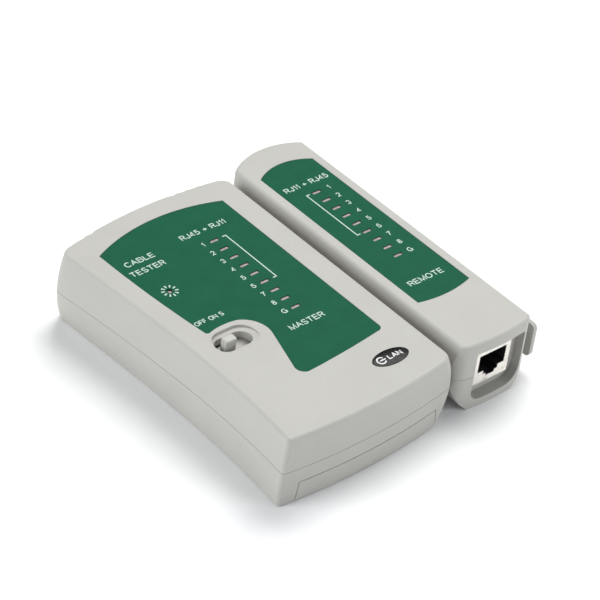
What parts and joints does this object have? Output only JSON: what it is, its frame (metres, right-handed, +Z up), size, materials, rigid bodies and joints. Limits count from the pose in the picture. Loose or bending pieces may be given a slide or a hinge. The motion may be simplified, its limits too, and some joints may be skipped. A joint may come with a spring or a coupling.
{
  "type": "network cable tester",
  "caption": "Two-piece network cable tester: battery master unit and slide-on remote, with modular sockets, indicator columns, slide switch and battery door.",
  "frame": {"origin": "centre of the footprint of both units, on the surface they lie on", "axes": "+X across from the master unit to the remote unit, +Y away from the battery end, +Z up out of the labels"},
  "size_m": [0.116, 0.1224, 0.029],
  "materials": {
    "case_plastic": "fine satin texture",
    "knob_plastic": "satin",
    "label_film": "satin printed film",
    "badge_black": "gloss",
    "led_lens": "clouded lens",
    "tinned_steel": "tinned",
    "steel": "zinc plated",
    "nickel_shield": "nickel plated",
    "gold_contact": "gold flash",
    "black_plastic": "moulded",
    "board_laminate": "solder mask",
    "capacitor_sleeve": "sleeve",
    "resistor_body": "lacquer",
    "diode_body": "glass like",
    "battery_jacket": "printed can",
    "foam": "open cell",
    "red_wire": "insulation",
    "black_wire": "insulation"
  },
  "bodies": {
    "master_unit": {"master_lower_shell": "case_plastic", "master_upper_shell": "case_plastic", "master_label": "label_film", "badge": "badge_black", "master_leds": "led_lens", "master_led_leads": "tinned_steel", "power_led": "led_lens", "power_led_leads": "tinned_steel", "master_board": "board_laminate", "master_board_screws": "steel", "master_case_screws": "steel", "master_rj45_insert": "black_plastic", "master_rj45_contacts": "gold_contact", "master_rj45_shield": "nickel_shield", "master_rj11_body": "black_plastic", "master_rj11_contacts": "gold_contact", "counter_chip": "black_plastic", "timer_chip": "black_plastic", "chip_legs": "tinned_steel", "capacitor": "capacitor_sleeve", "resistors": "resistor_body", "resistor_wires": "tinned_steel", "switch_frame": "steel", "switch_base": "black_plastic", "switch_pins": "tinned_steel", "switch_screws": "steel", "battery": "battery_jacket", "battery_terminals": "steel", "battery_foam": "foam", "snap_connector": "black_plastic", "snap_rings": "steel", "red_lead": "red_wire", "black_lead": "black_wire"},
    "battery_door": {"battery_door": "case_plastic"},
    "switch_knob": {"switch_knob": "knob_plastic"},
    "remote_unit": {"remote_lower_shell": "case_plastic", "remote_upper_shell": "case_plastic", "remote_label": "label_film", "remote_leds": "led_lens", "remote_led_leads": "tinned_steel", "remote_board": "board_laminate", "remote_board_screws": "steel", "remote_case_screws": "steel", "remote_rj45_insert": "black_plastic", "remote_rj45_contacts": "gold_contact", "remote_rj45_shield": "nickel_shield", "remote_rj11_body": "black_plastic", "remote_rj11_contacts": "gold_contact", "remote_diodes": "diode_body", "remote_diode_wires": "tinned_steel"}
  },
  "joints": [
    {"name": "switch_slide", "type": "slide", "parent": "master_unit", "child": "switch_knob", "axis": [1, 0, 0], "range_m": [0, 0.006]},
    {"name": "battery_door_slide", "type": "slide", "parent": "master_unit", "child": "battery_door", "axis": [0, -1, 0], "range_m": [0, 0.034]},
    {"name": "remote_slide", "type": "slide", "parent": "master_unit", "child": "remote_unit", "axis": [0, 1, 0], "range_m": [0, 0.11]}
  ]
}
